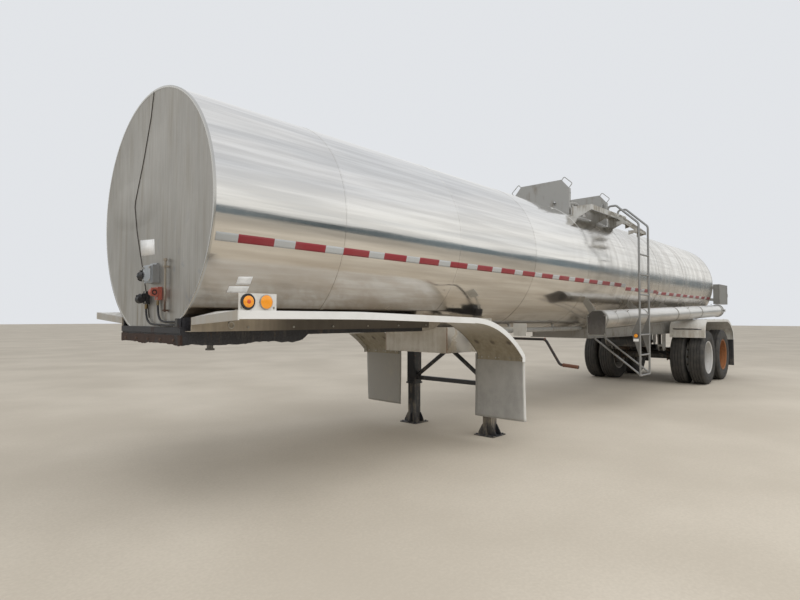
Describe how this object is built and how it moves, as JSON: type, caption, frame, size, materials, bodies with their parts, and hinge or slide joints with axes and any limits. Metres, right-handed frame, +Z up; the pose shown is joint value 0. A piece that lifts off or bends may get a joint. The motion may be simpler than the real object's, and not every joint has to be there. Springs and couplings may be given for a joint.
{
  "type": "tanker semi-trailer",
  "caption": "Tandem-axle tanker semi-trailer with a cylindrical polished tank, side ladder, hose tubes, fenders and landing gear, standing uncoupled on its legs.",
  "frame": {"origin": "middle of the kingpin's neck", "axes": "+X forward along the trailer, +Y to its left, +Z up"},
  "size_m": [13.49, 2.911, 3.4967],
  "materials": {
    "polished_steel": "polished",
    "grey_steel": "matt",
    "black_paint": "satin",
    "frame_paint": "weathered",
    "white_paint": "satin",
    "bare_aluminium": "satin",
    "black_rubber": "matt",
    "tyre_rubber": "matt",
    "rim_paint": "satin",
    "rusty_rim": "rusty",
    "cast_iron": "rough",
    "amber_lens": "gloss",
    "red_lens": "gloss",
    "dark_plastic": "matt",
    "red_coupling_paint": "satin"
  },
  "bodies": {
    "trailer": {"tank_barrel": "polished_steel", "front_head": "grey_steel", "rear_head": "polished_steel", "upper_coupler": "black_paint", "kingpin": "cast_iron", "front_fender_left": "white_paint", "front_fender_right": "white_paint", "front_mud_flaps": "black_rubber", "amber_lamps": "amber_lens", "connector_box": "dark_plastic", "air_coupling_black": "dark_plastic", "air_coupling_red": "red_coupling_paint", "coupling_post": "bare_aluminium", "air_line_black": "black_rubber", "air_line_red": "black_rubber", "cross_box": "white_paint", "leg_tubes": "black_paint", "leg_feet": "black_paint", "gear_drive": "black_paint", "landing_crank": "black_paint", "crank_bracket": "white_paint", "belly_pipe": "bare_aluminium", "rear_frame": "frame_paint", "leaf_springs": "frame_paint", "axles": "frame_paint", "brake_chambers": "cast_iron", "air_tank": "black_paint", "tandem_fender_left": "white_paint", "tandem_fender_right": "white_paint", "rear_mud_flaps": "black_rubber", "hose_tube_left": "polished_steel", "hose_tube_right": "polished_steel", "hose_tube_ends": "bare_aluminium", "hose_tube_hangers": "bare_aluminium", "ladder": "bare_aluminium", "ladder_steps": "bare_aluminium", "walkway": "bare_aluminium", "overturn_plates": "grey_steel", "manhole_collar": "polished_steel", "relief_vents": "polished_steel", "rear_outlet": "polished_steel", "rear_bumper": "frame_paint", "tail_lamps": "red_lens", "rear_cabinet": "bare_aluminium"},
    "wheel_front_left": {"tyres_front_left": "tyre_rubber", "rims_front_left": "rim_paint", "hub_front_left": "cast_iron"},
    "wheel_front_right": {"tyres_front_right": "tyre_rubber", "rims_front_right": "rim_paint", "hub_front_right": "cast_iron"},
    "wheel_rear_left": {"tyres_rear_left": "tyre_rubber", "rims_rear_left": "rusty_rim", "hub_rear_left": "cast_iron"},
    "wheel_rear_right": {"tyres_rear_right": "tyre_rubber", "rims_rear_right": "rim_paint", "hub_rear_right": "cast_iron"},
    "manhole_cover": {"manhole_lid": "polished_steel"},
    "hose_door_left": {"hose_tube_door_left": "bare_aluminium"},
    "hose_door_right": {"hose_tube_door_right": "bare_aluminium"},
    "cabinet_door": {"rear_cabinet_door": "bare_aluminium"}
  },
  "joints": [
    {"name": "spin_front_left", "type": "hinge", "parent": "trailer", "child": "wheel_front_left", "pos_m": [-10.295, 0.908, -0.5645], "axis": [0, 1, 0], "continuous": true},
    {"name": "spin_front_right", "type": "hinge", "parent": "trailer", "child": "wheel_front_right", "pos_m": [-10.295, -0.908, -0.5645], "axis": [0, 1, 0], "continuous": true},
    {"name": "spin_rear_left", "type": "hinge", "parent": "trailer", "child": "wheel_rear_left", "pos_m": [-11.54, 0.908, -0.5645], "axis": [0, 1, 0], "continuous": true},
    {"name": "spin_rear_right", "type": "hinge", "parent": "trailer", "child": "wheel_rear_right", "pos_m": [-11.54, -0.908, -0.5645], "axis": [0, 1, 0], "continuous": true},
    {"name": "manhole_hinge", "type": "hinge", "parent": "trailer", "child": "manhole_cover", "pos_m": [-6.499, 0, 2.0955], "axis": [0, -1, 0], "range_deg": [0, 110]},
    {"name": "hose_door_hinge_left", "type": "hinge", "parent": "trailer", "child": "hose_door_left", "pos_m": [-12.036, 1.151, 0.4145], "axis": [0, 0, -1], "range_deg": [0, 110]},
    {"name": "hose_door_hinge_right", "type": "hinge", "parent": "trailer", "child": "hose_door_right", "pos_m": [-12.036, -1.151, 0.4145], "axis": [0, 0, 1], "range_deg": [0, 110]},
    {"name": "cabinet_hinge", "type": "hinge", "parent": "trailer", "child": "cabinet_door", "pos_m": [-12.117, 1.023, 0.8], "axis": [0, 0, -1], "range_deg": [0, 120]}
  ]
}
